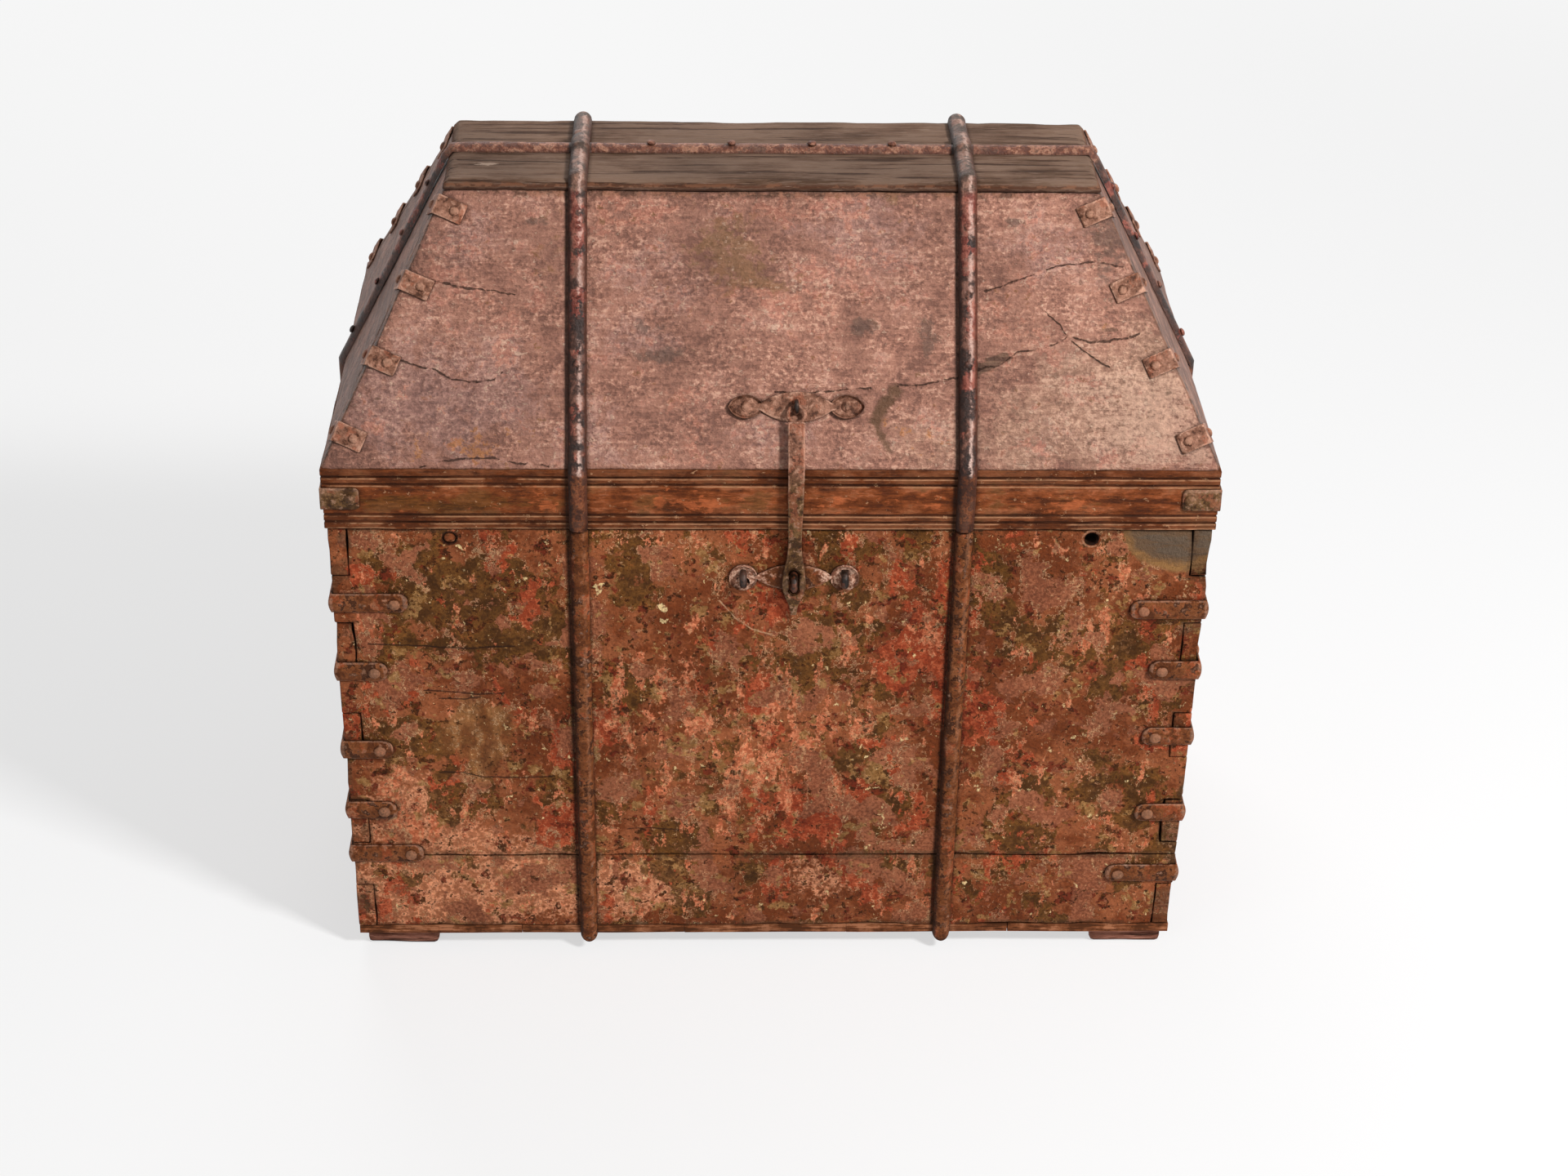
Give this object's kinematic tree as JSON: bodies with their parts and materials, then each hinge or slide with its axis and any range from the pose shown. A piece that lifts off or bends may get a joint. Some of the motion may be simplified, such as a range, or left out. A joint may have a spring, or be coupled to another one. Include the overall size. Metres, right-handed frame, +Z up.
{
  "type": "hipped-lid storage chest",
  "caption": "Iron-bound wooden chest with finger-jointed walls, a hinged lid of flat slopes rising to a flat top, and a front hasp that drops over a staple.",
  "frame": {"origin": "on the floor, under the middle of the chest", "axes": "+X to the right along the front, +Y from front to back, +Z up"},
  "size_m": [0.862, 0.482, 0.8183],
  "materials": {
    "box_paint": "worn red-brown paint",
    "lid_paint": "worn rose-brown paint",
    "bare_wood": "weathered bare wood",
    "plain_wood": "rough brown wood",
    "iron": "forged, rubbed and rusted"
  },
  "bodies": {
    "box": {"back_lower_board": "box_paint", "back_upper_board": "box_paint", "bottom_plank_1": "plain_wood", "bottom_plank_2": "plain_wood", "bottom_plank_3": "plain_wood", "bottom_plank_4": "plain_wood", "bottom_plank_5": "plain_wood", "corner_clip_nails": "iron", "corner_clips_back_left": "iron", "corner_clips_back_right": "iron", "corner_clips_front_left": "iron", "corner_clips_front_right": "iron", "foot_back_left": "plain_wood", "foot_back_right": "plain_wood", "foot_front_left": "plain_wood", "foot_front_right": "plain_wood", "front_lower_board": "box_paint", "front_strap_left": "iron", "front_strap_nails": "iron", "front_strap_right": "iron", "front_upper_board": "box_paint", "hinge_pin_left": "iron", "hinge_pin_right": "iron", "hinge_strap_left": "iron", "hinge_strap_nails": "iron", "hinge_strap_right": "iron", "hole_plug": "plain_wood", "left_lower_board": "box_paint", "left_upper_board": "box_paint", "lock_plate": "iron", "lock_staple": "iron", "plank_nails": "iron", "right_lower_board": "box_paint", "right_upper_board": "box_paint", "side_staple_left": "iron", "side_staple_right": "iron"},
    "lid": {"hasp_eye_staple": "iron", "hasp_plate": "iron", "hasp_plate_nails": "iron", "hip_clip_nails": "iron", "hip_clips_back_left": "iron", "hip_clips_back_right": "iron", "hip_clips_front_left": "iron", "hip_clips_front_right": "iron", "lid_strap_left": "iron", "lid_strap_nails": "iron", "lid_strap_right": "iron", "ridge_strap": "iron", "skirt_back": "lid_paint", "skirt_clip_nails": "iron", "skirt_clips": "iron", "skirt_front": "lid_paint", "skirt_left": "lid_paint", "skirt_right": "lid_paint", "slope_back": "lid_paint", "slope_front": "lid_paint", "slope_left": "lid_paint", "slope_right": "lid_paint", "top_board": "bare_wood"},
    "hasp": {"hasp": "iron"}
  },
  "joints": [
    {"name": "lid_hinge", "type": "hinge", "parent": "box", "child": "lid", "pos_m": [0, 0.2315, 0.513], "axis": [-1, 0, 0], "range_deg": [0, 105]},
    {"name": "hasp_swing", "type": "hinge", "parent": "lid", "child": "hasp", "pos_m": [0.022, -0.19621, 0.63228], "axis": [-1, 0, 0], "range_deg": [0, 150]}
  ]
}
